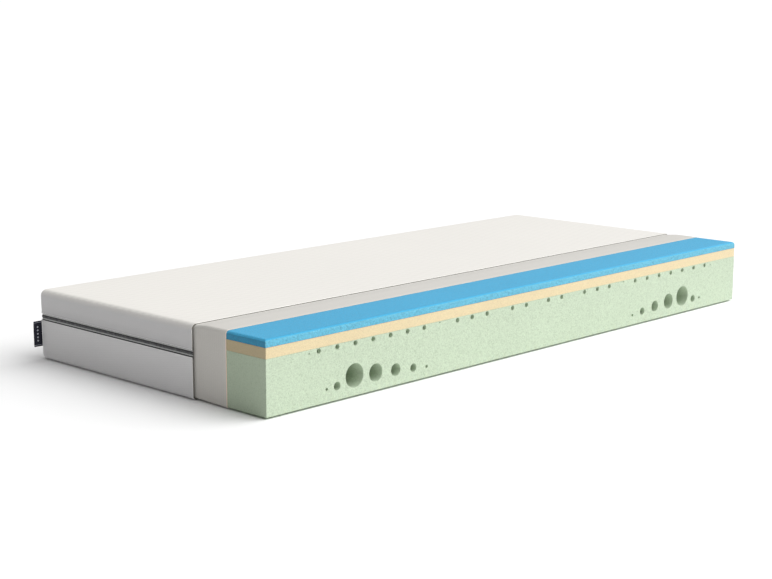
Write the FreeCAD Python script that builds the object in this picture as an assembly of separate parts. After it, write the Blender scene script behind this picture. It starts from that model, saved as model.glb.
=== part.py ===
# Memory foam mattress, 90 x 200 cm, cut away along one long side to show its layers.
# Millimetres, +Z up. The origin is the middle of the foam's plan, on the surface it lies on.
# +X runs along the length. +Y runs across, from the bare long side to the covered one.
import FreeCAD, Part
import math
import os

os.makedirs("parts", exist_ok=True)

# Foam block: three layers glued face to face
LENGTH = 2000.0
WIDTH = 900.0
SUPPORT_FOAM = 140.0
MEMORY_FOAM = 27.0
COOLING_FOAM = 20.0

# Textiles round the foam
LINER = 1.2
COVER = 2.8
SIDE_EASE = 4.8
LIFT_GAP = 0.3
PRESS_EASE = 0.2
PRESS_DOWN = 4.0

# Width of bare foam, and of foam not reached by the outer cover, from the cut long side
LINER_EDGE = 139.0
COVER_EDGE = 258.0

# Rounding of the outer cover, and of the foam edge that was cut bare
COVER_ROUND = 18.0
COVER_FOOT_ROUND = 15.0
BARE_ROUND = 9.0

# Zip between the two halves of the cover, round both ends and the covered long side
ZIP_HEIGHT = 117.5
ZIP_WINDOW = 18.0
ZIP_TUCK = 6.5
TAPE = 0.8
CHAIN_TALL = 2.6
CHAIN_THICK = 2.0
CHAIN_GAP = 1.4

# Slider and its pull tab
SLIDER_AT_X = 930.0
SLIDER_LONG = 13.0
SLIDER_TALL = 10.0
SLIDER_PLATE = 1.1
SLIDER_ROUND = 3.0
PLATE_CLEARANCE = 0.4
WEDGE_LONG = 4.0
WEDGE_THICK = 0.8
CROWN_HALF = 4.5
CROWN_HIGH = 4.2
CROWN_STRAP = 1.3
CROWN_WIDE = 2.0
PIVOT_OFF_PLATE = 1.5
PIVOT_RADIUS = 0.9
EYE_ARM = 1.4
EYE_HALF = 2.8
EYE_REACH = 5.2
TAB_LONG = 27.0
TAB_THICK = 1.6
TAB_HALF = 3.2
TAB_HOLE_RADIUS = 1.3
TAB_END_FLAT = 0.4
ARM_OVERLAP = 1.0
CROWN_SIDE_GAP = 0.4

# Woven flag label in the corner seam of the lower cover
LABEL_LONG = 26.0
LABEL_LOW = 35.0
LABEL_TALL = 70.0
LABEL_THICK = 1.0
LABEL_STAND_OFF = 1.2

# Air channels that run across through the support foam, heights above its underside
SMALL_CHANNEL = 13.0
SMALL_CHANNEL_HEIGHT = 132.0
MIDDLE_ROW = (48.5, 108.0, 213.5, 274.0, 332.0)
END_ROW_START = 460.0
END_ROW_PITCH = 61.8
END_ROW_COUNT = 7
VENT = 4.0
VENTS = ((401.0, 136.0), (862.5, 130.5))
# Shoulder zone, counted from each end: distance from the end, height, diameter
SHOULDER_ZONE = (
    (194.5, 33.0, 8.0),
    (229.5, 35.0, 21.5),
    (289.0, 51.0, 61.0),
    (363.0, 45.5, 46.0),
    (434.5, 40.0, 33.0),
    (499.5, 34.0, 22.0),
    (549.5, 29.0, 8.5),
)

# Worked out from the sizes above
HALF_LENGTH = LENGTH / 2
HALF_WIDTH = WIDTH / 2
FOAM_LOW = COVER + LINER
MEMORY_LOW = FOAM_LOW + SUPPORT_FOAM
COOLING_LOW = MEMORY_LOW + MEMORY_FOAM
FOAM_TOP = COOLING_LOW + COOLING_FOAM
CAVITY_SIDE = LINER + SIDE_EASE
COVER_SIDE = CAVITY_SIDE + COVER
LINER_EDGE_Y = -HALF_WIDTH + LINER_EDGE
COVER_EDGE_Y = -HALF_WIDTH + COVER_EDGE
FOAM_CORNER = COVER_ROUND - COVER_SIDE
PRESSED_ROUND = FOAM_CORNER - PRESS_EASE
PRESSED_TOP = FOAM_TOP - PRESS_DOWN
PRESSED_FROM_Y = COVER_EDGE_Y - 2 * LINER
ZIP_OUTER = CAVITY_SIDE + CHAIN_THICK
PLATE_INNER_FACE = HALF_WIDTH + ZIP_OUTER + PLATE_CLEARANCE
PLATE_OUTER_FACE = PLATE_INNER_FACE + SLIDER_PLATE
PIVOT_Y = PLATE_OUTER_FACE + PIVOT_OFF_PLATE
CORNER_X = -(HALF_LENGTH + COVER_SIDE - COVER_ROUND)
CORNER_Y = HALF_WIDTH + COVER_SIDE - COVER_ROUND
LABEL_AXIS_REACH = (COVER_ROUND + LABEL_STAND_OFF) * math.sqrt(0.5)
LABEL_AXIS_X = CORNER_X - LABEL_AXIS_REACH
LABEL_AXIS_Y = CORNER_Y + LABEL_AXIS_REACH


def block(low, high):
    """A box from its lowest corner to its highest."""
    size = [high[i] - low[i] for i in range(3)]
    return Part.makeBox(*size, FreeCAD.Vector(*low))


def save(shape, node):
    """Write one named piece."""
    shape = shape.removeSplitter()
    shape.exportStep("parts/" + node + ".step")
    bounds = shape.BoundBox
    print(node, len(shape.Solids), shape.isValid(), round(shape.Volume / 1000, 1), "cm3",
          [round(v, 1) for v in (bounds.XMin, bounds.YMin, bounds.ZMin,
                                 bounds.XMax, bounds.YMax, bounds.ZMax)])


def edges_where(shape, wanted):
    """The straight or curved edges whose every end passes the test."""
    return [e for e in shape.Edges if all(wanted(v.Point) for v in e.Vertexes)]


def upright_prism(side, low, high, near_y):
    """Plan of the covered foam grown by side, rounded at its two covered corners."""
    x = HALF_LENGTH + side
    y = HALF_WIDTH + side
    prism = block((-x, near_y, low), (x, y, high))
    upright = [e for e in edges_where(prism, lambda p: p.y > y - 0.1)
               if abs(e.Vertexes[0].Z - e.Vertexes[-1].Z) > 1.0]
    return prism.makeFillet(FOAM_CORNER + side, upright)


def covered_block(side, low, high, near_y, top_round, foot_round):
    """The upright prism with its top and bottom edges rounded, but not its cut end."""
    prism = upright_prism(side, low, high, near_y)
    rims = ((high, top_round), (low, foot_round))
    for level, radius in rims:
        rim = [e for e in edges_where(prism, lambda p: abs(p.z - level) < 0.01)
               if any(v.Y > near_y + 0.1 for v in e.Vertexes)]
        prism = prism.makeFillet(radius, rim)
    return prism


def bare_block(grow, near_y, far_y):
    """The stretch whose edges are not pressed by the cover: rounded along the top only."""
    x = HALF_LENGTH + grow
    top = FOAM_TOP + grow
    shape = block((-x, near_y, FOAM_LOW - grow), (x, far_y, top))
    cut_face = near_y < -HALF_WIDTH + 0.1
    rim = [e for e in edges_where(shape, lambda p: abs(p.z - top) < 0.01)
           if abs(e.Vertexes[0].Y - e.Vertexes[-1].Y) > 1.0
           or (cut_face and e.Vertexes[0].Y < near_y + 0.1)]
    return shape.makeFillet(BARE_ROUND + grow, rim)


def foam_envelope():
    """All the foam: full height where it is bare, pressed a little lower inside the cover."""
    bare = bare_block(0.0, -HALF_WIDTH, PRESSED_FROM_Y)
    pressed = covered_block(0.0, FOAM_LOW, PRESSED_TOP, PRESSED_FROM_Y,
                            PRESSED_ROUND, PRESSED_ROUND)
    return bare.fuse(pressed)


def slab(envelope, low, high):
    """One layer of the foam block."""
    reach = 100.0
    cutter = block((-HALF_LENGTH - reach, -HALF_WIDTH - reach, low),
                   (HALF_LENGTH + reach, HALF_WIDTH + reach, high))
    return envelope.common(cutter)


def channel(x, height, diameter):
    """A round air channel right through the support foam."""
    margin = 50.0
    start = FreeCAD.Vector(x, -HALF_WIDTH - margin, FOAM_LOW + height)
    return Part.makeCylinder(diameter / 2, WIDTH + 2 * margin, start, FreeCAD.Vector(0, 1, 0))


def air_channels():
    """Every channel of the support foam, the same to the left and right of the middle."""
    end_row = [END_ROW_START + i * END_ROW_PITCH for i in range(END_ROW_COUNT)]
    layout = [(x, SMALL_CHANNEL_HEIGHT, SMALL_CHANNEL) for x in list(MIDDLE_ROW) + end_row]
    layout += [(x, height, VENT) for x, height in VENTS]
    layout += [(HALF_LENGTH - in_from_end, height, diameter)
               for in_from_end, height, diameter in SHOULDER_ZONE]
    return [channel(sign * x, height, diameter)
            for x, height, diameter in layout for sign in (-1, 1)]


def build_foams():
    envelope = foam_envelope()
    support = slab(envelope, FOAM_LOW, MEMORY_LOW)
    for hole in air_channels():
        support = support.cut(hole)
    save(support, "support_foam")
    save(slab(envelope, MEMORY_LOW, COOLING_LOW), "memory_foam")
    save(slab(envelope, COOLING_LOW, FOAM_TOP), "cooling_foam")
    return envelope


def build_liner(envelope):
    """Jersey sock, drawn over the foam and open at the cut side."""
    bare = bare_block(LINER, LINER_EDGE_Y, PRESSED_FROM_Y + LINER)
    pressed = covered_block(LINER, FOAM_LOW - LINER, PRESSED_TOP + LINER, PRESSED_FROM_Y + LINER,
                            PRESSED_ROUND + LINER, PRESSED_ROUND + LINER)
    save(bare.fuse(pressed).cut(envelope), "inner_liner")


def cover_shell(cavity_top):
    """The closed outer cover, before the zip divides it."""
    overrun = 10.0
    outer = covered_block(COVER_SIDE, 0.0, cavity_top + COVER, COVER_EDGE_Y,
                          COVER_ROUND, COVER_FOOT_ROUND)
    cavity = covered_block(CAVITY_SIDE, COVER, cavity_top, COVER_EDGE_Y - overrun,
                           COVER_ROUND - COVER, COVER_FOOT_ROUND - COVER)
    return outer.cut(cavity)


def between_heights(shape, low, high):
    """The part of a shape between two levels."""
    reach = HALF_LENGTH + 100.0
    return shape.common(block((-reach, -reach, low), (reach, reach, high)))


def build_covers():
    """Upper half, a knit drawn over the top edge, and the lower half that the core stands in."""
    shell = cover_shell(PRESSED_TOP + LINER + LIFT_GAP)
    above = 50.0
    half_window = ZIP_WINDOW / 2
    save(between_heights(shell, ZIP_HEIGHT + half_window, FOAM_TOP + above), "top_cover")
    save(between_heights(shell, -1.0, ZIP_HEIGHT - half_window), "bottom_cover")


def zip_strip(inner, outer, low, high):
    """A flat strip that follows the zip round both ends and the covered side."""
    overrun = 10.0
    outside = upright_prism(outer, low, high, COVER_EDGE_Y)
    inside = upright_prism(inner, low - 1.0, high + 1.0, COVER_EDGE_Y - overrun)
    return outside.cut(inside)


def build_zip_halves():
    half_gap = CHAIN_GAP / 2
    tape_reach = ZIP_WINDOW / 2 + ZIP_TUCK
    tape = (CAVITY_SIDE - TAPE, CAVITY_SIDE)
    chain = (CAVITY_SIDE, CAVITY_SIDE + CHAIN_THICK)
    upper = ZIP_HEIGHT + half_gap
    lower = ZIP_HEIGHT - half_gap
    save(zip_strip(*tape, upper, ZIP_HEIGHT + tape_reach), "upper_zip_tape")
    save(zip_strip(*tape, ZIP_HEIGHT - tape_reach, lower), "lower_zip_tape")
    save(zip_strip(*chain, upper, upper + CHAIN_TALL), "upper_zip_chain")
    save(zip_strip(*chain, lower - CHAIN_TALL, lower), "lower_zip_chain")


def slider_plate(near_y):
    """One of the slider's two plates, with rounded corners."""
    half_long = SLIDER_LONG / 2
    half_tall = SLIDER_TALL / 2
    plate = block((SLIDER_AT_X - half_long, near_y, ZIP_HEIGHT - half_tall),
                  (SLIDER_AT_X + half_long, near_y + SLIDER_PLATE, ZIP_HEIGHT + half_tall))
    corners = [e for e in plate.Edges if abs(e.Vertexes[0].Y - e.Vertexes[-1].Y) > 0.5]
    return plate.makeFillet(SLIDER_ROUND, corners)


def build_slider():
    """Two plates joined by a wedge between the chains, with a crown for the pull tab."""
    inner_y = HALF_WIDTH + CAVITY_SIDE - TAPE - PLATE_CLEARANCE - SLIDER_PLATE
    wedge = block((SLIDER_AT_X - WEDGE_LONG / 2, inner_y, ZIP_HEIGHT - WEDGE_THICK / 2),
                  (SLIDER_AT_X + WEDGE_LONG / 2, PLATE_OUTER_FACE, ZIP_HEIGHT + WEDGE_THICK / 2))
    crown_low = ZIP_HEIGHT - CROWN_WIDE / 2
    crown_top = ZIP_HEIGHT + CROWN_WIDE / 2
    crown = block((SLIDER_AT_X - CROWN_HALF, PLATE_OUTER_FACE, crown_low),
                  (SLIDER_AT_X + CROWN_HALF, PLATE_OUTER_FACE + CROWN_HIGH, crown_top))
    shoulders = [e for e in crown.Edges
                 if abs(e.Vertexes[0].Z - e.Vertexes[-1].Z) > 0.5
                 and e.Vertexes[0].Y > PLATE_OUTER_FACE + 0.1]
    crown = crown.makeFillet(CROWN_STRAP, shoulders)
    window_half = CROWN_HALF - CROWN_STRAP
    window = block((SLIDER_AT_X - window_half, PLATE_OUTER_FACE, crown_low - 1.0),
                   (SLIDER_AT_X + window_half, PLATE_OUTER_FACE + CROWN_HIGH - CROWN_STRAP,
                    crown_top + 1.0))
    body = slider_plate(inner_y).fuse([wedge, slider_plate(PLATE_INNER_FACE), crown.cut(window)])
    save(body, "zip_slider")


def build_pull_tab():
    """Flat tab with an eye whose bar turns inside the slider's crown."""
    bar = Part.makeCylinder(PIVOT_RADIUS, 2 * EYE_HALF,
                            FreeCAD.Vector(SLIDER_AT_X, PIVOT_Y, ZIP_HEIGHT - EYE_HALF),
                            FreeCAD.Vector(0, 0, 1))
    low_y = PIVOT_Y - TAB_THICK / 2
    high_y = PIVOT_Y + TAB_THICK / 2
    pieces = [bar]
    arm_inside = CROWN_WIDE / 2 + CROWN_SIDE_GAP
    for low_z in (ZIP_HEIGHT - EYE_HALF, ZIP_HEIGHT + arm_inside):
        pieces.append(block((SLIDER_AT_X, low_y, low_z),
                            (SLIDER_AT_X + EYE_REACH + ARM_OVERLAP, high_y, low_z + EYE_ARM)))
    grip = block((SLIDER_AT_X + EYE_REACH, low_y, ZIP_HEIGHT - TAB_HALF),
                 (SLIDER_AT_X + TAB_LONG, high_y, ZIP_HEIGHT + TAB_HALF))
    far_corners = [e for e in edges_where(grip, lambda p: p.x > SLIDER_AT_X + TAB_LONG - 0.1)
                   if abs(e.Vertexes[0].Y - e.Vertexes[-1].Y) > 0.5]
    grip = grip.makeFillet(TAB_HALF - TAB_END_FLAT, far_corners)
    hole = Part.makeCylinder(TAB_HOLE_RADIUS, TAB_THICK + 2.0,
                             FreeCAD.Vector(SLIDER_AT_X + TAB_LONG - TAB_HALF, low_y - 1.0,
                                            ZIP_HEIGHT),
                             FreeCAD.Vector(0, 1, 0))
    pieces.append(grip.cut(hole))
    save(pieces[0].fuse(pieces[1:]), "pull_tab")


def build_label():
    """Folded woven flag that sticks out of the corner seam, towards -X."""
    half_thick = LABEL_THICK / 2
    flag = block((LABEL_AXIS_X - LABEL_LONG, LABEL_AXIS_Y - half_thick, LABEL_LOW),
                 (LABEL_AXIS_X, LABEL_AXIS_Y + half_thick, LABEL_LOW + LABEL_TALL))
    root = Part.makeCylinder(half_thick, LABEL_TALL,
                             FreeCAD.Vector(LABEL_AXIS_X, LABEL_AXIS_Y, LABEL_LOW),
                             FreeCAD.Vector(0, 0, 1))
    save(flag.fuse(root), "flag_label")


def main():
    envelope = build_foams()
    build_liner(envelope)
    build_covers()
    build_zip_halves()
    build_slider()
    build_pull_tab()
    build_label()
    print("zip height", ZIP_HEIGHT, "pull tab axis", [SLIDER_AT_X, PIVOT_Y],
          "label axis", [round(LABEL_AXIS_X, 3), round(LABEL_AXIS_Y, 3)])


main()
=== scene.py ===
# %% [markdown]
# # A memory foam mattress, cut away along one side
# This lesson dresses a mattress whose layers, cover and zip are already settled as a plain model.
# The plain model is the frame: it says where everything is and how it moves. Each soft piece is
# modelled afresh here, in the same place, and gets the cloth or foam finish of the real thing.

# %% Load the frame
import math
import bpy
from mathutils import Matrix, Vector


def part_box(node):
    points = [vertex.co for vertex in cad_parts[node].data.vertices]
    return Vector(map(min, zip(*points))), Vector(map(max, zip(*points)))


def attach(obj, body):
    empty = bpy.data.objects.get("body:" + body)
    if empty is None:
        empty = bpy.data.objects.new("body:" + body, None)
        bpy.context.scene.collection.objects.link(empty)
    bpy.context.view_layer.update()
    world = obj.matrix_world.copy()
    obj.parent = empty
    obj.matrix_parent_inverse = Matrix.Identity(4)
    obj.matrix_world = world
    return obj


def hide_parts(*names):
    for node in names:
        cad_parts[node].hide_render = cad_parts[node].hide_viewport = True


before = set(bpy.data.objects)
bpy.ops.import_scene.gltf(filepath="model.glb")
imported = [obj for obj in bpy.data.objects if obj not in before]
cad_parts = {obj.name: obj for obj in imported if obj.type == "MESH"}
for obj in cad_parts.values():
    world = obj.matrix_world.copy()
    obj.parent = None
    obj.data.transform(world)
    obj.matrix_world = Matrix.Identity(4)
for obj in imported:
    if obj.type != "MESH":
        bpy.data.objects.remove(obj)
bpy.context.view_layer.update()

print("nodes:", sorted(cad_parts))

# %% [markdown]
# ## Sizes
# All the sizes come from the frame, in metres. X runs along the mattress and Y across it. The side
# at the lowest Y is the one laid bare. The three foams lie on each other, the liner is drawn over
# them, and the outer cover over the liner, in two halves that the zip joins. The cover presses the
# foam a little lower, and leaves a hair of room over the liner so that its upper half lifts off.

# %% Sizes from the frame
support_low, support_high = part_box("support_foam")
memory_low, memory_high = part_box("memory_foam")
cooling_low, cooling_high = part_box("cooling_foam")
liner_low, liner_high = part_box("inner_liner")
upper_low, upper_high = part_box("top_cover")
lower_low, lower_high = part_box("bottom_cover")
liner_thick = liner_high.z - cooling_high.z
cover_thick = liner_low.z - lower_low.z
pressed_from = upper_low.y - 2 * liner_thick
LIFT_GAP = 0.0003
pressed_level = upper_high.z - cover_thick - LIFT_GAP - liner_thick
press_depth = cooling_high.z - pressed_level
print("foam", tuple(support_low), tuple(cooling_high), "liner", liner_thick, "cover", cover_thick)
print("pressed down", press_depth)

# %% [markdown]
# ## Modelling by hand, in code
# Every piece starts as a primitive at its own size and place. Parts of it are then selected by
# where they are, and bevelled, cut or pushed with the same tools as in the window. Loading leaves
# the frame selected, and an operator acts on all that is selected, so each helper clears that first.

# %% Helpers that select and shape
def deselect_all():
    if bpy.context.object and bpy.context.object.mode != "OBJECT":
        bpy.ops.object.mode_set(mode="OBJECT")
    bpy.ops.object.select_all(action="DESELECT")


def make_active(piece):
    deselect_all()
    piece.select_set(True)
    bpy.context.view_layer.objects.active = piece


def start_block(name, low, high):
    deselect_all()
    middle = [(a + b) / 2 for a, b in zip(low, high)]
    bpy.ops.mesh.primitive_cube_add(size=1, location=middle)
    piece = bpy.context.object
    piece.name = name
    piece.data.name = name
    piece.scale = [b - a for a, b in zip(low, high)]
    bpy.ops.object.transform_apply(location=True, rotation=True, scale=True)
    return piece


def choose(piece, kind, test, along=None, inner=False, shorter=None):
    """Select the corners, edges or faces whose every corner passes the test, in edit mode.

    Edges can be kept to those that run along one axis, lie between two faces, or are short.
    """
    make_active(piece)
    bpy.ops.object.mode_set(mode="EDIT")
    bpy.ops.mesh.select_mode(type=kind)
    bpy.ops.mesh.select_all(action="DESELECT")
    bpy.ops.object.mode_set(mode="OBJECT")
    mesh = piece.data
    passed = [bool(test(corner.co)) for corner in mesh.vertices]
    items = {"VERT": mesh.vertices, "EDGE": mesh.edges, "FACE": mesh.polygons}[kind]
    uses = {}
    if inner:
        for face in mesh.polygons:
            for key in face.edge_keys:
                uses[key] = uses.get(key, 0) + 1
    count = 0
    for item in items:
        corners = [item.index] if kind == "VERT" else list(item.vertices)
        ok = all(passed[i] for i in corners)
        if ok and along is not None:
            run = mesh.vertices[corners[0]].co - mesh.vertices[corners[1]].co
            ok = abs(run["xyz".index(along)]) > 0.9 * run.length
        if ok and inner:
            ok = uses.get(tuple(sorted(corners)), 0) > 1
        if ok and shorter is not None:
            ok = (mesh.vertices[corners[0]].co - mesh.vertices[corners[1]].co).length < shorter
        item.select = ok
        count += ok
    bpy.ops.object.mode_set(mode="EDIT")
    return count


def leave_edit():
    bpy.ops.object.mode_set(mode="OBJECT")


def round_chosen(radius, steps):
    bpy.ops.mesh.bevel(offset=radius, segments=steps, affect="EDGES")
    leave_edit()


def cut_rows(piece, axis, places):
    """Cut the faces along planes across one axis, so that there are corners to move."""
    make_active(piece)
    bpy.ops.object.mode_set(mode="EDIT")
    normal = [float(name == axis) for name in "xyz"]
    for place in places:
        bpy.ops.mesh.select_all(action="SELECT")
        bpy.ops.mesh.bisect(plane_co=[place * part for part in normal], plane_no=normal)
    leave_edit()


def apply_modifier(piece, kind, **settings):
    make_active(piece)
    modifier = piece.modifiers.new(kind.title(), kind)
    for key, value in settings.items():
        setattr(modifier, key, value)
    bpy.ops.object.modifier_apply(modifier=modifier.name)


def smooth(piece, degrees=35):
    make_active(piece)
    bpy.ops.object.shade_smooth_by_angle(angle=math.radians(degrees))


def keep_flat(piece, test):
    """Shade the chosen faces as the flat sawn faces that they are."""
    choose(piece, "FACE", test)
    bpy.ops.mesh.faces_shade_flat()
    leave_edit()


def near(a, b, slack=0.0002):
    return abs(a - b) < slack


def spread(start, end, step):
    """Places from start to end, about one step apart, without the two ends."""
    count = max(1, round((end - start) / step))
    return [start + (end - start) * i / count for i in range(1, count)]


print("helpers ready")

# %% [markdown]
# ## The foams
# A foam block is sawn from a bigger bun, so its faces are flat and its corners are sharp, apart from
# the top layer, whose upper edge is rounded all round. Each one starts as a block, and the two
# corners inside the cover are rounded. The cover squeezes the top layer a little, so its upper face
# slopes down over a short way in front of the cover.

# %% Foam blocks
SAWN_ROUND = 0.0012
SEAM_ROUND = 0.0006
BARE_ROUND = 0.009
CORNER_ROUND = 0.0092
FOOT_ROUND = 0.009
SLOPE = 0.045
SLOPE_STEP = 0.005
slope_rows = [pressed_from - SLOPE] + spread(pressed_from - SLOPE, pressed_from, SLOPE_STEP)
slope_rows += [pressed_from]


def foam_block(name, low, high):
    """A block whose two corners inside the cover are round."""
    piece = start_block(name, low, high)
    choose(piece, "EDGE", lambda p: p.y > high.y - 0.001, along="z")
    round_chosen(CORNER_ROUND, 6)
    return piece


def saw_corners(piece, low):
    """Take the sharpness off the two bare upright corners."""
    choose(piece, "EDGE", lambda p: p.y < low.y + 0.001, along="z")
    round_chosen(SAWN_ROUND, 2)


def press(piece, top):
    """Push the upper face down towards the cover, in proportion to the height above the joint."""
    for corner in piece.data.vertices:
        p = corner.co
        share = min(1, max(0, (p.y - pressed_from + SLOPE) / SLOPE))
        rise = max(0, (p.z - cooling_low.z) / (top - cooling_low.z))
        p.z -= press_depth * rise * share ** 2 * (3 - 2 * share)


memory_foam = foam_block("memory_foam_layer", memory_low, memory_high)
saw_corners(memory_foam, memory_low)
choose(memory_foam, "EDGE", lambda p: near(p.z, memory_high.z) or near(p.z, memory_low.z))
round_chosen(SEAM_ROUND, 2)

cooling_foam = foam_block("cooling_foam_layer", cooling_low, cooling_high)
choose(cooling_foam, "EDGE", lambda p: near(p.z, cooling_high.z))
round_chosen(BARE_ROUND, 8)
cut_rows(cooling_foam, "y", slope_rows)
press(cooling_foam, cooling_high.z)
print(memory_foam.name, cooling_foam.name, "made")

# %% [markdown]
# ## Air channels
# The support foam is drilled right across with round channels: a row of small ones under the
# memory foam, and near each end a group that grows and shrinks, where the shoulders and feet sink
# in. Cylinders are put where the channels run, joined, and cut out of the block all at once.

# %% Drill the support foam
CHANNEL_ROW_HEIGHT = 0.132
ROW_WIDTH = 0.013
ROW_NEAR_MIDDLE = [0.0485, 0.108, 0.2135, 0.274, 0.332]
ROW_TOWARDS_ENDS = [0.460 + 0.0618 * i for i in range(7)]
VENTS = [(0.401, 0.136, 0.004), (0.8625, 0.1305, 0.004)]
SHOULDER_ZONE = [
    (0.1945, 0.033, 0.008),
    (0.2295, 0.035, 0.0215),
    (0.289, 0.051, 0.061),
    (0.363, 0.0455, 0.046),
    (0.4345, 0.040, 0.033),
    (0.4995, 0.034, 0.022),
    (0.5495, 0.029, 0.0085),
]
channels = [(x, CHANNEL_ROW_HEIGHT, ROW_WIDTH) for x in ROW_NEAR_MIDDLE + ROW_TOWARDS_ENDS]
channels += VENTS
channels += [(support_high.x - inward, height, width) for inward, height, width in SHOULDER_ZONE]
channels = [(side * x, support_low.z + height, width)
            for x, height, width in channels for side in (-1, 1)]


def drill_for(x, z, width):
    sides = 64 if width > 0.03 else 32 if width > 0.01 else 16
    deselect_all()
    middle_y = (support_low.y + support_high.y) / 2
    bpy.ops.mesh.primitive_cylinder_add(vertices=sides, radius=width / 2,
                                        depth=(support_high.y - support_low.y) * 1.1,
                                        location=(x, middle_y, z), rotation=(math.pi / 2, 0, 0))
    return bpy.context.object


support_foam = foam_block("support_foam_block", support_low, support_high)
choose(support_foam, "EDGE", lambda p: near(p.z, support_low.z))
leave_edit()
# The lower edge of the bare side stays sharp, as it was sawn.
for edge in support_foam.data.edges:
    if all(near(support_foam.data.vertices[i].co.y, support_low.y) for i in edge.vertices):
        edge.select = False
bpy.ops.object.mode_set(mode="EDIT")
round_chosen(FOOT_ROUND, 6)
drills = [drill_for(*channel) for channel in channels]
make_active(drills[0])
for drill in drills:
    drill.select_set(True)
bpy.ops.object.join()
drill_set = bpy.context.object
bpy.ops.object.transform_apply(location=True, rotation=True, scale=True)
apply_modifier(support_foam, "BOOLEAN", object=drill_set, operation="DIFFERENCE", solver="EXACT")
bpy.data.objects.remove(drill_set)


def on_a_mouth(p):
    """Whether a corner lies as far from a channel's middle line as its wall does."""
    return any(near(math.hypot(p.x - x, p.z - z), width / 2, 0.0003) for x, z, width in channels)


# A cylinder's own sides are short. Longer edges only bridge two channels, and stay as they are.
LONGEST_SIDE = 0.004
MOUTH_ROUND = 0.0009
for side_y in (support_low.y, support_high.y):
    count = choose(support_foam, "EDGE", lambda p: near(p.y, side_y) and on_a_mouth(p),
                   shorter=LONGEST_SIDE)
    round_chosen(MOUTH_ROUND, 2)
    print(len(channels), "channels,", count, "rim edges")
choose(support_foam, "EDGE", lambda p: near(p.z, support_high.z))
round_chosen(SEAM_ROUND, 2)
print(len(support_foam.data.polygons), "faces")

# %% [markdown]
# ## A foot that grows rounder
# The liner and cover pull the foam's lower edges round, more and more towards the cover. Those edges
# were bevelled to one radius, so their corners are moved, row by row, onto an arc of another one.

# %% Let the foot grow rounder under the liner
def reround(piece, box_high_x, level, old, radius_at):
    """Move an edge that runs across, at both ends of the block, from one radius to another."""
    up = 1 if level > box_middle_z else -1
    for corner in piece.data.vertices:
        p = corner.co
        new = radius_at(p.y)
        out = (abs(p.x) - (box_high_x - old)) / old
        rise = (up * (p.z - level) + old) / old
        if new is None or out < -0.001 or rise < -0.001:
            continue
        p.x = math.copysign(box_high_x - new + new * out, p.x)
        p.z = level + up * (new * rise - new)


def growing(start_radius, end_radius, start_y, end_y):
    """A radius that grows from one row to another, and is left alone past the second."""
    def at(y):
        if y > end_y - 0.0001:
            return None
        share = min(1, max(0, (y - start_y) / (end_y - start_y)))
        return start_radius + (end_radius - start_radius) * share
    return at


FOOT_STEP = 0.03
box_middle_z = (support_low.z + cooling_high.z) / 2
cut_rows(support_foam, "y", [liner_low.y] + spread(liner_low.y, pressed_from, FOOT_STEP)
         + [pressed_from])
reround(support_foam, support_high.x, support_low.z, FOOT_ROUND,
        growing(SEAM_ROUND, FOOT_ROUND, liner_low.y, pressed_from))
ON_FACE = 0.00002
for piece in (memory_foam, cooling_foam, support_foam):
    smooth(piece)
    keep_flat(piece, lambda p: near(p.y, support_low.y, ON_FACE))
    for end in (support_low.x, support_high.x):
        keep_flat(piece, lambda p: near(p.x, end, ON_FACE))
    print(piece.name, len(piece.data.polygons), "faces")

# %% [markdown]
# ## Cloth as an open box
# The liner and the two halves of the cover are sheets of cloth pulled into the shape of a box. Each
# starts as a block, loses the sides that are open, and has its edges rounded. Rows are cut so that
# hems can be raised and seams sunk, and Solidify gives the cloth its thickness, inwards.

# %% Open boxes of cloth
OUTER_ROUND = 0.018
HEM_ROWS = (0.0006, 0.0021, 0.0028, 0.0038)


def remove_sides(piece, *tests):
    for test in tests:
        choose(piece, "FACE", test)
        bpy.ops.mesh.delete(type="FACE")
        leave_edit()


def cloth_box(name, low, high, open_levels, upright_round, rims, steps=10):
    """A box of cloth, open at the low Y side and at the given levels, with rounded edges."""
    piece = start_block(name, low, high)
    remove_sides(piece, lambda p: near(p.y, low.y))
    for level in open_levels:
        remove_sides(piece, lambda p: near(p.z, level))
    choose(piece, "EDGE", lambda p: near(p.y, high.y), along="z")
    round_chosen(upright_round, steps)
    for level, radius in rims:
        choose(piece, "EDGE", lambda p: near(p.z, level), inner=True)
        round_chosen(radius, steps)
    return piece


def puff(piece, test, amount):
    """Push the chosen corners out along their normals, or in where the amount is negative."""
    choose(piece, "VERT", test)
    bpy.ops.transform.shrink_fatten(value=amount)
    leave_edit()


def roll_hem(piece, depth_of, height=0.0007):
    """Raise a rolled hem beside an open edge, with a stitched groove behind it."""
    puff(piece, lambda p: HEM_ROWS[0] - 0.0003 < depth_of(p) < HEM_ROWS[1] + 0.0003, height)
    puff(piece, lambda p: near(depth_of(p), HEM_ROWS[3], 0.0003), -height * 0.8)


def thicken(piece, thickness):
    apply_modifier(piece, "SOLIDIFY", thickness=thickness, offset=-1, use_even_offset=True)


def soften_rim(piece, test, radius):
    """Round both borders of the thin faces along an open edge."""
    choose(piece, "FACE", test)
    bpy.ops.mesh.region_to_loop()
    round_chosen(radius, 2)


print("cloth helpers ready")

# %% [markdown]
# ## The liner
# A thin jersey sock is pulled over the foam, and its edge is left to lie flat.
# It follows the foam: its lower edges grow rounder, and its top slopes down, towards the cover.

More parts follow.
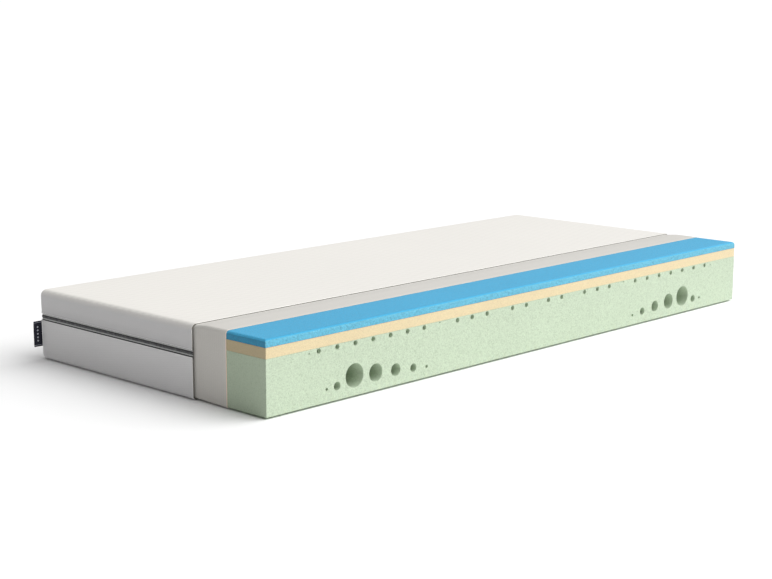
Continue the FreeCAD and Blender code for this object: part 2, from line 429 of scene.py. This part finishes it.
# %% Inner liner
LINER_TOP_ROUND = BARE_ROUND + liner_thick
LINER_FOOT_ROUND = FOOT_ROUND + liner_thick
LINER_CORNER_ROUND = CORNER_ROUND + liner_thick
liner = cloth_box("inner_liner_jersey", liner_low, liner_high, [], LINER_CORNER_ROUND,
                  [(liner_high.z, LINER_TOP_ROUND), (liner_low.z, LINER_FOOT_ROUND)])
LINER_HEM_ROWS = (0.0008, 0.0025, 0.0100, 0.0108)
LINER_STARTING_FOOT = 0.0025
liner_rows = [liner_low.y + depth for depth in LINER_HEM_ROWS]
cut_rows(liner, "y", liner_rows + spread(liner_low.y + 0.02, slope_rows[0], 0.02) + slope_rows
         + [upper_low.y] + spread(upper_low.y, liner_high.y - 0.03, 0.06))
cut_rows(liner, "x", spread(liner_low.x + 0.03, liner_high.x - 0.03, 0.05))
reround(liner, liner_high.x, liner_low.z, LINER_FOOT_ROUND,
        growing(LINER_STARTING_FOOT, LINER_FOOT_ROUND, liner_low.y, upper_low.y))
press(liner, liner_high.z)
thicken(liner, liner_thick * 0.9)
soften_rim(liner, lambda p: near(p.y, liner_low.y), 0.0004)
smooth(liner)
print("liner", len(liner.data.polygons), "faces")

# %% [markdown]
# ## The outer cover
# The cover's upper half is a thick double knit, drawn over the top edge without a seam there. The
# lower half has a plain border and a base. Where they meet the zip, the cloth is folded over and
# stitched, which leaves a small round roll. On the cut side it simply ends, with a softened edge.

# %% Cover halves
FOOT_OUTER_ROUND = 0.015
SEAM_DEPTH = 0.0009
CUT_EDGE_ROUND = 0.0005
HEM_EDGE_ROUND = 0.0009


def cover_half(name, low, high, open_level, rim_level, rim_round):
    piece = cloth_box(name, low, high, [open_level], OUTER_ROUND, [(rim_level, rim_round)])
    inward = 1 if rim_level > open_level else -1
    cut_rows(piece, "z", [open_level + inward * depth for depth in HEM_ROWS])
    start = open_level + inward * HEM_ROWS[3]
    cut_rows(piece, "z", spread(start, rim_level - inward * rim_round, 0.02))
    cut_rows(piece, "y", [low.y + depth for depth in HEM_ROWS])
    cut_rows(piece, "y", spread(low.y + HEM_ROWS[3], high.y - OUTER_ROUND, 0.04))
    cut_rows(piece, "x", spread(low.x + OUTER_ROUND, high.x - OUTER_ROUND, 0.04))
    roll_hem(piece, lambda p: inward * (p.z - open_level))
    return piece


def seam_corners(piece, low, high):
    """Sink a seam into both upright corners, on the middle line of their rounding."""
    middle_x = high.x - OUTER_ROUND
    middle_y = high.y - OUTER_ROUND

    def on_seam(p):
        out = abs(p.x) - middle_x
        back = p.y - middle_y
        return out > 0.001 and near(out, back, 0.0004) and low.z - 0.001 < p.z < high.z + 0.001
    puff(piece, on_seam, -SEAM_DEPTH)


upper_cover = cover_half("top_cover_knit", upper_low, upper_high, upper_low.z, upper_high.z,
                         OUTER_ROUND)
lower_cover = cover_half("bottom_cover_knit", lower_low, lower_high, lower_high.z, lower_low.z,
                         FOOT_OUTER_ROUND)
for piece, low, high in ((upper_cover, upper_low, upper_high), (lower_cover, lower_low, lower_high)):
    seam_corners(piece, low, high)
    thicken(piece, cover_thick)
    soften_rim(piece, lambda p: near(p.y, low.y), CUT_EDGE_ROUND)
    open_level = low.z if piece is upper_cover else high.z
    soften_rim(piece, lambda p: near(p.z, open_level), HEM_EDGE_ROUND)
    smooth(piece)
    print(piece.name, len(piece.data.polygons), "faces")

# %% [markdown]
# ## A flat pattern for bent cloth
# A knit runs straight over a rounded edge and down the side. So each cloth piece gets its own UV
# map, in metres: flat across the top or base, then as far again as the cloth runs round the edge
# and along the side. The pattern breaks only at the seam in each upright corner, as in sewing.

# %% Unroll cloth into its own map
def unroll(piece, low, high, flat_level, turn, upright_round):
    """Give a box of cloth a map in metres, where turn is the rounding beside its flat face."""
    mesh = piece.data
    layer = mesh.uv_layers.new(name="cloth")
    middle_x = high.x - upright_round
    middle_y = high.y - upright_round

    def run_out(inside, drop):
        """Distance along the cloth, counted outwards from where its flat part ends."""
        if drop >= turn:
            return turn * math.pi / 2 + drop - turn
        if inside > turn:
            return turn - inside
        return turn * math.atan2(turn - inside, turn - drop)

    for face in mesh.polygons:
        at_end = abs(face.center.x) - middle_x > face.center.y - middle_y
        for loop in face.loop_indices:
            p = mesh.vertices[mesh.loops[loop].vertex_index].co
            side = math.copysign(1, p.x)
            out_x = abs(p.x) - middle_x
            out_y = p.y - middle_y
            drop = abs(p.z - flat_level)
            in_corner = out_x > 0 and out_y > 0
            swing = math.atan2(out_y, out_x)
            reach = math.hypot(out_x, out_y)
            if at_end:
                inside = upright_round - (reach if in_corner else out_x)
                u = side * (high.x - turn + run_out(inside, drop))
                v = middle_y + upright_round * swing if in_corner else p.y
            else:
                inside = upright_round - (reach if in_corner else out_y)
                v = high.y - turn + run_out(inside, drop)
                u = side * (middle_x + upright_round * (math.pi / 2 - swing)) if in_corner else p.x
            layer.data[loop].uv = (u, v)


unroll(liner, liner_low, liner_high, liner_high.z, LINER_TOP_ROUND, LINER_CORNER_ROUND)
unroll(upper_cover, upper_low, upper_high, upper_high.z, OUTER_ROUND, OUTER_ROUND)
unroll(lower_cover, lower_low, lower_high, lower_low.z, FOOT_OUTER_ROUND, OUTER_ROUND)
print("three cloth maps made")

# %% [markdown]
# ## The zip
# The zip runs round both ends and the covered side, in the gap between the halves. Its two tapes
# are woven bands behind the gap, made as cloth boxes that are open above and below. The chain is
# two rows of small coils that mesh. One coil is modelled, an Array repeats it, and a Curve modifier
# bends the row round the corners.

# %% Zip tapes
SIDE_SPACE = 0.006
TAPE_THICK = 0.0008
TAPE_ROUND = CORNER_ROUND + SIDE_SPACE


def zip_tape(name, low, high):
    piece = cloth_box(name, low, high, [low.z, high.z], TAPE_ROUND, [], 12)
    cut_rows(piece, "z", spread(low.z, high.z, 0.003))
    cut_rows(piece, "y", spread(low.y, high.y - TAPE_ROUND, 0.05))
    thicken(piece, TAPE_THICK)
    smooth(piece)
    return piece


upper_tape = zip_tape("upper_zip_tape_woven", *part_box("upper_zip_tape"))
lower_tape = zip_tape("lower_zip_tape_woven", *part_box("lower_zip_tape"))
print("tapes", len(upper_tape.data.polygons), "faces each")

# %% Zip chain
COIL_PITCH = 0.002
COIL_WIDE = 0.00125
COIL_TALL = 0.0037
COIL_THICK = 0.0017
COIL_LEAN = 0.0005
COIL_APART = 0.00125
COIL_EDGE = 0.00045
CHAIN_HALF_THICK = 0.001
chain_low, chain_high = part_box("upper_zip_chain")
chain_round = TAPE_ROUND + CHAIN_HALF_THICK
chain_half_x = chain_high.x - CHAIN_HALF_THICK
chain_far_y = chain_high.y - CHAIN_HALF_THICK
zip_length = (2 * (chain_far_y - chain_low.y) + 2 * chain_half_x
              - (4 - math.pi) * chain_round)
zip_middle = (upper_low.z + lower_high.z) / 2


def zip_path():
    """A line round the zip, from the cut edge at one end to that at the other."""
    deselect_all()
    middle_y = (chain_far_y + chain_low.y) / 2
    bpy.ops.mesh.primitive_plane_add(size=1, location=(0, middle_y, 0))
    path = bpy.context.object
    path.scale = (2 * chain_half_x, chain_far_y - chain_low.y, 1)
    bpy.ops.object.transform_apply(location=True, rotation=True, scale=True)
    choose(path, "EDGE", lambda p: near(p.y, chain_low.y))
    bpy.ops.mesh.delete(type="EDGE_FACE")
    leave_edit()
    choose(path, "VERT", lambda p: near(p.y, chain_far_y))
    bpy.ops.mesh.bevel(offset=chain_round, segments=16, affect="VERTICES")
    leave_edit()
    bpy.ops.object.convert(target="CURVE")
    path.data.twist_mode = "Z_UP"
    return path


def coil_row(name, middle_z, lean, start):
    deselect_all()
    bpy.ops.mesh.primitive_cube_add(size=1, location=(start, 0, middle_z))
    row = bpy.context.object
    row.name = name
    row.data.name = name
    row.scale = (COIL_WIDE, COIL_THICK, COIL_TALL)
    bpy.ops.object.transform_apply(location=True, rotation=True, scale=True)
    choose(row, "VERT", lambda p: p.z > middle_z)
    bpy.ops.transform.translate(value=(lean, 0, 0))
    leave_edit()
    choose(row, "EDGE", lambda p: True)
    round_chosen(COIL_EDGE, 1)
    path = zip_path()
    apply_modifier(row, "ARRAY", fit_type="FIXED_COUNT", count=int(zip_length / COIL_PITCH) - 1,
                   use_relative_offset=False, use_constant_offset=True,
                   constant_offset_displace=(COIL_PITCH, 0, 0))
    apply_modifier(row, "CURVE", object=path, deform_axis="POS_X")
    bpy.data.objects.remove(path)
    smooth(row, 50)
    return row


upper_coils = coil_row("upper_zip_coils", zip_middle + COIL_APART, COIL_LEAN, 0.5 * COIL_PITCH)
lower_coils = coil_row("lower_zip_coils", zip_middle - COIL_APART, COIL_LEAN, COIL_PITCH)
for row in (upper_coils, lower_coils):
    xs = [corner.co.x for corner in row.data.vertices]
    ys = [corner.co.y for corner in row.data.vertices]
    print(row.name, len(row.data.polygons), "faces, reaching", max(xs), max(ys))

# %% [markdown]
# ## The flag label
# A woven flag label is one ribbon folded in two, with its cut ends caught in the corner seam. It is
# made as cloth too: a flat box that is open above, below and at the seam, with a tight fold at its
# tip. The plies lie apart by a hair and the flag bows a little.

# %% Flag label
LABEL_PLY = 0.00035
LABEL_FOLD = 0.00046
LABEL_BOW = 0.0011
label_low, label_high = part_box("flag_label")
label = start_block("flag_label_woven", label_low, label_high)
remove_sides(label, lambda p: near(p.z, label_low.z), lambda p: near(p.z, label_high.z),
             lambda p: near(p.x, label_high.x))
choose(label, "EDGE", lambda p: near(p.x, label_low.x), along="z")
round_chosen(LABEL_FOLD, 4)
cut_rows(label, "x", spread(label_low.x, label_high.x, 0.002))
cut_rows(label, "z", spread(label_low.z, label_high.z, 0.004))
label_middle = (label_low.y + label_high.y) / 2
for corner in label.data.vertices:
    p = corner.co
    outward = (label_high.x - p.x) / (label_high.x - label_low.x)
    height = (p.z - label_low.z) / (label_high.z - label_low.z)
    p.y += LABEL_BOW * outward ** 2 * math.sin(2.2 * height + 0.4) - 0.0004 * outward
    p.y = label_middle + (p.y - label_middle) * (1 - 0.15 * (1 - outward))
thicken(label, LABEL_PLY)
smooth(label)
print("label", len(label.data.polygons), "faces")

# %% [markdown]
# ## Writing finishes as sums
# A finish is a small network of shader nodes. Written as plain sums it reads like a recipe, so a
# Wire wraps a node's output, and arithmetic on it adds Math nodes. A Finish holds one material, and
# its node method makes every other kind of node.

# %% Wires and finishes
class Wire:
    """A number that varies over the surface. Arithmetic on it adds Math nodes."""

    def __init__(self, finish, socket):
        self.finish = finish
        self.socket = socket

    def math(self, operation, *values):
        return self.finish.node("ShaderNodeMath", {"operation": operation}, dict(enumerate(values)))

    def __add__(self, other):
        return self.math("ADD", self, other)

    def __sub__(self, other):
        return self.math("SUBTRACT", self, other)

    def __rsub__(self, other):
        return self.math("SUBTRACT", other, self)

    def __mul__(self, other):
        return self.math("MULTIPLY", self, other)

    def __lt__(self, other):
        return self.math("LESS_THAN", self, other)

    def __gt__(self, other):
        return self.math("GREATER_THAN", self, other)

    __radd__ = __add__
    __rmul__ = __mul__

    def wave(self, pitch):
        """A sine that swings between -1 and 1, once in each pitch."""
        return self.math("SINE", self * (2 * math.pi / pitch))

    def size(self):
        return self.math("ABSOLUTE", self)

    def within(self, low, high):
        return (self > low) * (self < high)


class Finish:
    """One material, with its Principled shader ready to be fed."""

    def __init__(self, name, roughness, **constants):
        self.material = bpy.data.materials.new(name)
        self.material.use_nodes = True
        self.tree = self.material.node_tree
        self.tree.nodes.clear()
        self.shader = self.tree.nodes.new("ShaderNodeBsdfPrincipled")
        output = self.tree.nodes.new("ShaderNodeOutputMaterial")
        self.tree.links.new(self.shader.outputs[0], output.inputs["Surface"])
        self.shader.inputs["Roughness"].default_value = roughness
        for key, value in constants.items():
            self.shader.inputs[key.replace("_", " ").title()].default_value = value

    def plug(self, socket, value):
        if isinstance(value, Wire):
            self.tree.links.new(value.socket, socket)
        else:
            socket.default_value = value

    def node(self, kind, settings, inputs, output=0):
        made = self.tree.nodes.new(kind)
        for key, value in settings.items():
            setattr(made, key, value)
        for key, value in inputs.items():
            self.plug(made.inputs[key], value)
        return Wire(self, made.outputs[output])

    def coordinates(self, kind):
        """Where a point is, as a vector and as three numbers, in metres."""
        place = self.node("ShaderNodeTexCoord", {}, {}, kind)
        parts = [self.node("ShaderNodeSeparateXYZ", {}, {0: place}, i) for i in range(3)]
        return place, parts

    def noise(self, place, size, detail=2.0):
        """Cloudy variation between about 0.3 and 0.7, in lumps of about the given size."""
        return self.node("ShaderNodeTexNoise", {}, {"Vector": place, "Scale": 1 / size,
                                                    "Detail": detail}, "Fac")

    def cells(self, place, size):
        """Distance from the middle of round cells of about the given size, from 0 to about 1."""
        return self.node("ShaderNodeTexVoronoi", {}, {"Vector": place, "Scale": 1 / size},
                         "Distance")

    def mix(self, share, first, second):
        return self.node("ShaderNodeMix", {"data_type": "RGBA", "clamp_factor": True},
                         {0: share, 6: first, 7: second}, 2)

    def shade(self, colour, amount):
        """Darken or lighten a colour: an amount of 1 leaves it alone."""
        grey = self.node("ShaderNodeCombineXYZ", {}, {0: amount, 1: amount, 2: amount})
        return self.node("ShaderNodeMix", {"data_type": "RGBA", "blend_type": "MULTIPLY"},
                         {0: 1.0, 6: colour, 7: grey}, 2)

    def feed(self, colour, height, depth, roughness=None):
        """Connect the colour, and a relief of the given depth in metres for a height of 0 to 1."""
        self.plug(self.shader.inputs["Base Color"], colour)
        bump = self.node("ShaderNodeBump", {}, {"Height": height, "Distance": depth,
                                                "Strength": 1.0}, "Normal")
        self.plug(self.shader.inputs["Normal"], bump)
        if roughness is not None:
            self.plug(self.shader.inputs["Roughness"], roughness)


def linear(red, green, blue):
    """A colour as a shader wants it, from its usual 0 to 255 values."""
    parts = [value / 255 for value in (red, green, blue)]
    return [part / 12.92 if part < 0.04045 else ((part + 0.055) / 1.055) ** 2.4
            for part in parts] + [1.0]


def wear(piece, finish, slot, body, *nodes):
    """Give a piece its finish, its body and the plain nodes it stands for; the slot argument is not
    used.
    """
    piece.data.materials.clear()
    piece.data.materials.append(finish.material)
    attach(piece, body)
    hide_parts(*nodes)


print("shader helpers ready")

# %% [markdown]
# ## Foam finishes
# Foam is a mass of tiny open cells. From where one stands it is a fine speckle of light and shade,
# coarser on a sawn face than on a skin. The three foams share one recipe and differ in colour and
# in how coarse the cells are. The short ends are darkened as painted shade. A thin line is painted
# at each glued joint, and at the support foam's foot, where it is painted shade.

# %% Foam
def foam_finish(name, colour, deep, speck, joint, joint_colour, sawn=None, cell=0.0035,
                grain=0.26, end_painted_shade=0.14):
    """Foam with deeper specks, painted shade on the short ends, a thin line at the given level, and
    its own sawn colour.
    """
    finish = Finish(name, 0.9, sheen_weight=0.15)
    place, (x, y, z) = finish.coordinates("Object")
    lumps = finish.noise(place, 0.25, 1.0)
    specks = finish.noise(place, cell, 3.0)
    pores = finish.cells(place, cell * 0.45)
    face = y < support_low.y + 0.002
    end = x.size() > support_high.x - 0.0008
    strength = grain * (0.4 + 0.6 * face)
    tone = 1.0 + (specks - 0.5) * strength * 2.2 + (pores - 0.45) * strength + (lumps - 0.5) * 0.05
    # The short ends are darkened as painted shade.
    tone = tone - end * end_painted_shade
    if sawn:
        colour = finish.mix(face, colour, sawn)
    base = finish.mix((0.42 - specks) * speck, colour, deep)
    # A thin line at the given level: a glue line at a joint, and painted shade at the support foam's
    # foot.
    glue_line_and_foot_shade = z.within(joint - 0.0008, joint + 0.0008)
    base = finish.mix(glue_line_and_foot_shade * 0.75, base, joint_colour)
    finish.feed(finish.shade(base, tone), specks * 0.6 + pores * 0.4, 0.0010,
                0.84 + (specks - 0.5) * 0.2)
    return finish


SUPPORT_GREEN = linear(188, 203, 179)
SUPPORT_DEEP = linear(158, 184, 146)
MEMORY_CREAM = linear(222, 204, 164)
MEMORY_DEEP = linear(196, 170, 124)
GLUE_AMBER = linear(232, 186, 118)
COOLING_BLUE = linear(54, 167, 211)
COOLING_SAWN = linear(92, 174, 201)
COOLING_DEEP = linear(40, 120, 172)
JOINT_BLUE = linear(44, 120, 168)

# The support foam's thin line lies at its foot and is painted shade.
support_finish = foam_finish("support_foam", SUPPORT_GREEN, SUPPORT_DEEP, 3.0, support_low.z,
                             SUPPORT_DEEP)
memory_finish = foam_finish("memory_foam", MEMORY_CREAM, MEMORY_DEEP, 1.2, memory_high.z,
                            GLUE_AMBER, cell=0.0028, grain=0.16, end_painted_shade=0.32)
cooling_finish = foam_finish("cooling_foam", COOLING_BLUE, COOLING_DEEP, 2.0, cooling_low.z,
                             JOINT_BLUE, sawn=COOLING_SAWN, grain=0.40, end_painted_shade=0.35)
wear(support_foam, support_finish, "support_foam", "core", "support_foam")
wear(memory_foam, memory_finish, "memory_foam", "core", "memory_foam")
wear(cooling_foam, cooling_finish, "cooling_foam", "core", "cooling_foam")
print("foams finished")

# %% [markdown]
# ## Cloth finishes
# The cover is a double knit with two sets of faint slanting ribs that cross, stronger on the upper
# border than on the top. They follow the cloth's own map, so they bend over the edge with the knit.
# The upper half's sides are painted greyer than its top, and the lower half greyer all over, as
# painted shade. The hems are stitched in small dashes, with a painted highlight on each rolled hem.
# Where the cover was cut, its rim has a painted highlight in its outer band and painted shade
# behind it. The liner is a fine plain jersey, with ribs along its length.

# %% Knit cover
KNIT_REPEAT = 0.0075
YARN = 0.0011
STITCH = 0.0034


def knit_finish(name, top_colour, side_colour_painted_shade, hem_level, inward, top_level, relief_share):
    finish = Finish(name, 0.9, sheen_weight=0.25, sheen_roughness=0.4)
    place, (x, y, z) = finish.coordinates("Object")
    u, v = finish.coordinates("UV")[1][:2]
    slant = 2 * KNIT_REPEAT * math.sqrt(2)
    cell = ((u + v).wave(slant).size() * 0.65 + (u - v).wave(slant).size() * 0.35) * relief_share
    yarn = u.wave(YARN) * v.wave(YARN * 1.4)
    fuzz = finish.noise(place, 0.0016, 2.0)
    drift = finish.noise(place, 0.35, 1.0)
    # The sides are painted greyer than the top, as painted shade.
    side = (top_level - z) * inward * (1 / OUTER_ROUND)
    side = side.math("MINIMUM", side, 1.0)
    colour = finish.mix(side, top_colour, side_colour_painted_shade)
    from_hem = (z - hem_level) * inward
    stitched = from_hem.within(0.0030, 0.0042) * ((u + v).wave(STITCH) > -0.3)
    # The rolled hem is lightened as a painted highlight.
    hem_roll_highlight = from_hem < 0.0026
    # The cut rim is painted: a highlight in its outer band and shade behind it.
    cut_rim = y < upper_low.y + 0.0004
    rim_highlight_band = (x.size() > upper_high.x - RIM_HIGHLIGHT_WIDTH) + ((z - top_level).size() < RIM_HIGHLIGHT_WIDTH)
    colour = finish.mix(cut_rim, colour, finish.mix(rim_highlight_band, CUT_RIM_PAINTED_SHADE, CUT_RIM_PAINTED_HIGHLIGHT))
    tone = (0.92 + 0.16 * cell * (0.3 + 0.7 * side) + (fuzz - 0.5) * 0.09 + (drift - 0.5) * 0.03
            - stitched * 0.10 + hem_roll_highlight * 0.16)
    relief = 0.55 * cell + 0.12 * yarn + 0.3 * fuzz + 0.35 * stitched
    finish.feed(finish.shade(colour, tone), relief, 0.00045, 0.86 + (fuzz - 0.5) * 0.12)
    return finish


KNIT_TOP = linear(239, 236, 230)
# Painted shade: the grey of the upper half's sides.
KNIT_SIDE_PAINTED_SHADE = linear(209, 208, 208)
# Painted shade: the lower half is greyed all over.
BORDER_PAINTED_SHADE = linear(222, 221, 221)
# The cut rim's painted highlight, its painted shade, and the width of the highlighted band.
CUT_RIM_PAINTED_HIGHLIGHT = linear(252, 251, 248)
CUT_RIM_PAINTED_SHADE = linear(112, 110, 100)
RIM_HIGHLIGHT_WIDTH = 0.0013
TOP_RELIEF = 1.0
BORDER_RELIEF = 0.35
cover_finish = knit_finish("cover_knit", KNIT_TOP, KNIT_SIDE_PAINTED_SHADE, upper_low.z, 1, upper_high.z,
                           TOP_RELIEF)
border_finish = knit_finish("border_knit", BORDER_PAINTED_SHADE, BORDER_PAINTED_SHADE, lower_high.z, -1, lower_low.z,
                            BORDER_RELIEF)
wear(upper_cover, cover_finish, "cover_knit", "upper_cover", "top_cover")
wear(lower_cover, border_finish, "border_knit", "core", "bottom_cover")
print("cover finished")

# %% Jersey liner
JERSEY_GREY = linear(206, 203, 197)
JERSEY_EDGE = linear(245, 222, 200)
JERSEY_EDGE_WIDTH = 0.0025
JERSEY_FOLD = 0.0104


def jersey_finish():
    finish = Finish("liner_jersey", 0.92, sheen_weight=0.2, sheen_roughness=0.5)
    place, (_, y, _) = finish.coordinates("Object")
    u, v = finish.coordinates("UV")[1][:2]
    ribs = v.wave(0.0024)
    loops = u.wave(0.0016) * v.wave(0.0024)
    fuzz = finish.noise(place, 0.0014, 2.0)
    drift = finish.noise(place, 0.2, 1.0)
    folded = y < liner_low.y + JERSEY_FOLD
    edge = y < liner_low.y + JERSEY_EDGE_WIDTH
    colour = finish.mix(edge * 0.8, JERSEY_GREY, JERSEY_EDGE)
    tone = 1.0 + ribs * 0.012 + (fuzz - 0.5) * 0.08 + (drift - 0.5) * 0.04 + folded * 0.02
    finish.feed(finish.shade(colour, tone), 0.4 * ribs + 0.3 * loops + 0.3 * fuzz, 0.0003)
    return finish


liner_finish = jersey_finish()
wear(liner, liner_finish, "liner_jersey", "core", "inner_liner")
print("liner finished")

# %% [markdown]
# ## Zip, slider and label finishes
# The tapes are a twill with paler woven stripes beside the coils; on either side of the stripes the
# tape is painted dark, as painted shade beside the coils and under the hems. The coils are nylon
# with a satin gleam. The slider and its tab are plain small castings that the frame already has, so
# they keep their shape and get a painted finish, rubbed through to bare metal in places.

# %% Zip tape and coils
# Painted shade on the tape outside its stripes.
TAPE_PAINTED_SHADE = linear(62, 63, 64)
TAPE_STRIPE = linear(215, 216, 214)
UPPER_STRIPE = (0.0048, 0.0076)
LOWER_STRIPE = (-0.0070, -0.0036)
COIL_DARK = linear(84, 85, 87)
COIL_PALE = linear(128, 128, 128)


def tape_finish():
    finish = Finish("zip_tape", 0.8)
    place, (x, y, z) = finish.coordinates("Object")
    along = x + y
    above = z - zip_middle
    stripe = above.within(*UPPER_STRIPE) + above.within(*LOWER_STRIPE) * 0.8
    twill = (along + z * 1.7).wave(0.0013)
    fuzz = finish.noise(place, 0.0012, 2.0)
    # Outside the stripes the tape is painted dark, as painted shade beside the coils and under the
    # hems.
    colour = finish.mix(stripe, TAPE_PAINTED_SHADE, TAPE_STRIPE)
    tone = 1.0 + twill * 0.10 + (fuzz - 0.5) * 0.25
    finish.feed(finish.shade(colour, tone), 0.6 * twill + 0.4 * fuzz, 0.0003,
                0.78 + (fuzz - 0.5) * 0.2)
    return finish


def coil_finish():
    finish = Finish("zip_coils", 0.42, coat_weight=0.15)
    place = finish.coordinates("Object")[0]
    scuffs = finish.noise(place, 0.012, 3.0)
    grain = finish.noise(place, 0.0006, 2.0)
    colour = finish.mix((scuffs - 0.45) * 3.0, COIL_DARK, COIL_PALE)
    finish.feed(colour, grain, 0.00008, 0.38 + (scuffs - 0.5) * 0.3)
    return finish


zip_tape_finish = tape_finish()
zip_coil_finish = coil_finish()
wear(upper_tape, zip_tape_finish, "zip_tape", "upper_cover", "upper_zip_tape")
wear(lower_tape, zip_tape_finish, "zip_tape", "core", "lower_zip_tape")
wear(upper_coils, zip_coil_finish, "zip_chain", "upper_cover", "upper_zip_chain")
wear(lower_coils, zip_coil_finish, "zip_chain", "core", "lower_zip_chain")
print("zip finished")

# %% Slider and pull tab
SLIDER_PAINT = linear(52, 53, 56)
SLIDER_METAL = linear(168, 166, 160)


def slider_finish():
    finish = Finish("slider_paint", 0.4, coat_weight=0.2)
    place = finish.coordinates("Object")[0]
    scuffs = finish.noise(place, 0.003, 4.0)
    grain = finish.noise(place, 0.0005, 2.0)
    bare = (scuffs - 0.60) * 12.0
    bare = bare.math("MINIMUM", bare.math("MAXIMUM", bare, 0.0), 1.0)
    colour = finish.mix(bare, SLIDER_PAINT, SLIDER_METAL)
    finish.feed(colour, grain + bare * -0.5, 0.00006, 0.42 - bare * 0.12 + (grain - 0.5) * 0.1)
    finish.plug(finish.shader.inputs["Metallic"], bare)
    return finish


slider_paint = slider_finish()
for name in ("zip_slider", "pull_tab"):
    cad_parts[name].material_slots[0].material = slider_paint.material
print("slider finished")

# %% Woven label
LABEL_NAVY = linear(8, 12, 36)
LABEL_PALE = linear(196, 200, 208)
LABEL_BORDER = (0.0305, 0.0315)
LOZENGE_STEP = 0.0095
LOZENGE_HALF = 0.0030


def label_finish():
    """Navy satin weave with a plain border and a column of small pale lozenges."""
    finish = Finish("label_weave", 0.7, sheen_weight=0.1)
    x, _, z = finish.coordinates("Object")[1]
    middle_x = (label_low.x + label_high.x) / 2 - 0.001
    middle_z = (label_low.z + label_high.z) / 2
    across = (x - middle_x).size()
    along = (z - middle_z).size()
    repeats = (z - middle_z) * (1 / LOZENGE_STEP) + 10.5
    turn = repeats.math("FRACT", repeats)
    lozenge = ((turn - 0.5).size() * LOZENGE_STEP + across) < LOZENGE_HALF
    column = along < 2.5 * LOZENGE_STEP
    border = along.within(*LABEL_BORDER)
    pale = (lozenge * column).math("MAXIMUM", lozenge * column, border)
    weft = z.wave(0.0007) * x.wave(0.0009)
    colour = finish.mix(pale, LABEL_NAVY, LABEL_PALE)
    finish.feed(finish.shade(colour, 1.0 + weft * 0.12), 0.6 * weft + 0.4 * pale, 0.00012,
                0.66 + weft * 0.06)
    return finish


wear(label, label_finish(), "label_weave", "label", "flag_label")
print("label finished")

# %% [markdown]
# ## How each sheet was cut
# The liner and both cover halves have their flat sizes printed, so that anyone who sews one knows
# what to cut. The sizes follow from the box each covers and from how far it runs round the edges.

# %% Flat sizes
HEM_TURNING = 0.010


def round_edge(radius):
    return radius * math.pi / 2


def length_over(low, high, round_radius, drop):
    """From hem to hem, over the flat part, round both edges and along both ends."""
    around = round_edge(round_radius) + drop - round_radius + HEM_TURNING
    return high.x - low.x - 2 * round_radius + 2 * around


def depth_over(low, high, round_radius, drop):
    """From the cut row to the hem, over the flat part, round the edge and along the side."""
    around = round_edge(round_radius) + drop - round_radius + HEM_TURNING
    return high.y - low.y - round_radius + around


upper_drop = upper_high.z - upper_low.z
lower_drop = lower_high.z - lower_low.z
liner_drop = liner_high.z - liner_low.z
flats = {
    upper_cover: (length_over(upper_low, upper_high, OUTER_ROUND, upper_drop),
                  depth_over(upper_low, upper_high, OUTER_ROUND, upper_drop)),
    lower_cover: (length_over(lower_low, lower_high, FOOT_OUTER_ROUND, lower_drop),
                  depth_over(lower_low, lower_high, FOOT_OUTER_ROUND, lower_drop)),
    liner: (2 * (liner_high.x - liner_low.x + liner_drop),
            liner_high.y - liner_low.y + liner_drop / 2),
}
for piece, flat in flats.items():
    print(piece.name, "cut to", [round(side, 3) for side in flat])

# %% [markdown]
# ## Studio
# The mattress stands on a wide white floor. A broad soft sun from the front right lights the top and
# the bare side, a large dim panel lifts the far end, and an even sky fills the rest. The camera looks
# down slightly, across the corner where the layers show.

# %% Floor, light and camera
FLOOR_SIZE = 400
FLOOR_WHITE = linear(255, 255, 255)
SKY = 0.25
SUN_STRENGTH = 3.5
SUN_WIDTH = 80
PANEL_POWER = 14
PANEL_SIZE = 2
PANEL_PLACE = (3.0, -2.5, 1.8)
PANEL_TURN = (62, 0, 50)
CAMERA_PLACE = (-3.364, -3.126, 0.985)
CAMERA_TURN = (79.244, 0, -45.919)
CAMERA_LENS = 73.82
SUN_TURN = (42.3, 0, 48)

deselect_all()
bpy.ops.mesh.primitive_plane_add(size=FLOOR_SIZE, location=(0, 0, -0.0005))
floor = bpy.context.object
floor.name = "floor"
bpy.ops.object.transform_apply(location=True, rotation=True, scale=True)
floor_finish = Finish("floor_paper", 0.95)
floor_place = floor_finish.coordinates("Object")[0]
paper = floor_finish.noise(floor_place, 0.4, 2.0)
floor_finish.feed(floor_finish.shade(FLOOR_WHITE, 0.99 + (paper - 0.5) * 0.01), paper, 0.0)
floor.data.materials.append(floor_finish.material)

world = bpy.data.worlds.new("sky")
bpy.context.scene.world = world
world.use_nodes = True
world.node_tree.nodes["Background"].inputs[0].default_value = (1, 1, 1, 1)
world.node_tree.nodes["Background"].inputs[1].default_value = SKY

deselect_all()
bpy.ops.object.light_add(type="SUN", location=(3, -4, 6))
sun = bpy.context.object
sun.rotation_euler = [math.radians(angle) for angle in SUN_TURN]
sun.data.energy = SUN_STRENGTH
sun.data.angle = math.radians(SUN_WIDTH)

deselect_all()
bpy.ops.object.light_add(type="AREA", location=PANEL_PLACE)
panel = bpy.context.object
panel.rotation_euler = [math.radians(angle) for angle in PANEL_TURN]
panel.data.energy = PANEL_POWER
panel.data.size = PANEL_SIZE

deselect_all()
bpy.ops.object.camera_add(location=CAMERA_PLACE)
camera = bpy.context.object
camera.rotation_euler = [math.radians(angle) for angle in CAMERA_TURN]
camera.data.lens = CAMERA_LENS
camera.data.sensor_width = 36
camera.data.clip_end = 600
bpy.context.scene.camera = camera
bpy.context.scene.view_settings.view_transform = "Standard"
print("studio ready")
